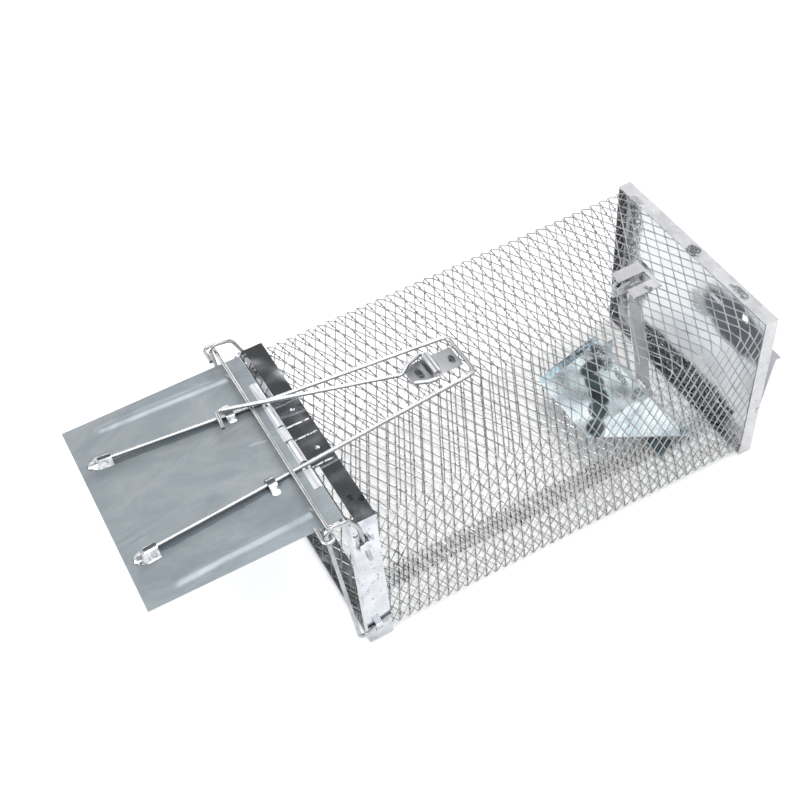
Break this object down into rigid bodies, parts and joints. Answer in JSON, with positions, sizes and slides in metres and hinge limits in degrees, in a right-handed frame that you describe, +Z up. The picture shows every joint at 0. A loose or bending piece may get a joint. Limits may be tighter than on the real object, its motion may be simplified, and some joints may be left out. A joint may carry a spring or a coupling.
{
  "type": "live catch trap",
  "caption": "Wire-mesh box trap with a top-hinged drop door, its lock bar on side guides, a long door handle with hold-down rod, a treadle trigger and a rear bait door",
  "frame": {"origin": "middle of the front frame's underside, below the doorway", "axes": "+X to the right of somebody facing the rear, +Y towards the rear, +Z up"},
  "size_m": [0.1578, 0.3857, 0.1255],
  "materials": {
    "frame_sheet": "bright galvanised sheet steel with weld marks",
    "bright_sheet": "shiny galvanised sheet steel",
    "door_sheet": "dull blue-grey galvanised sheet steel with faint mottling",
    "mesh": "galvanised expanded steel",
    "wire": "zinc-plated steel wire"
  },
  "bodies": {
    "cage": {"front_frame": "frame_sheet", "rear_frame": "frame_sheet", "rear_panel": "bright_sheet", "mesh_top": "mesh", "mesh_bottom": "mesh", "mesh_left": "mesh", "mesh_right": "mesh", "hinge_pin": "wire", "guide_left": "wire", "guide_right": "wire", "rod_bracket": "bright_sheet", "trigger_bracket": "bright_sheet", "trigger_pin": "wire", "rear_door_pin": "wire"},
    "door": {"door_panel": "door_sheet", "door_handle": "wire"},
    "lock": {"lock_bar": "wire"},
    "rod": {"hold_down_rod": "wire"},
    "trigger": {"trigger_arm": "bright_sheet", "treadle": "bright_sheet", "treadle_rivets": "wire"},
    "bait_flap": {"rear_door": "frame_sheet"}
  },
  "joints": [
    {"name": "door_hinge", "type": "hinge", "parent": "cage", "child": "door", "pos_m": [0, -0.0098, 0.1145], "axis": [1, 0, 0], "range_deg": [0, 91]},
    {"name": "lock_slide", "type": "slide", "parent": "cage", "child": "lock", "axis": [0, 0.0727, -0.9974], "range_m": [0, 0.012]},
    {"name": "rod_pivot", "type": "hinge", "parent": "cage", "child": "rod", "pos_m": [-0.002, 0.0804, 0.1156], "axis": [-0.9962, 0.0872, 0], "range_deg": [0, 174.5]},
    {"name": "trigger_pivot", "type": "hinge", "parent": "cage", "child": "trigger", "pos_m": [0.0025, 0.212, 0.106], "axis": [1, 0, 0], "range_deg": [-9, 5]},
    {"name": "rear_door_hinge", "type": "hinge", "parent": "cage", "child": "bait_flap", "pos_m": [0, 0.2604, 0.0075], "axis": [-1, 0, 0], "range_deg": [-7, 85]}
  ],
  "couplings": [
    {"joint": "lock_slide", "follows": "door_hinge", "m_per_rad": 0.0075}
  ]
}
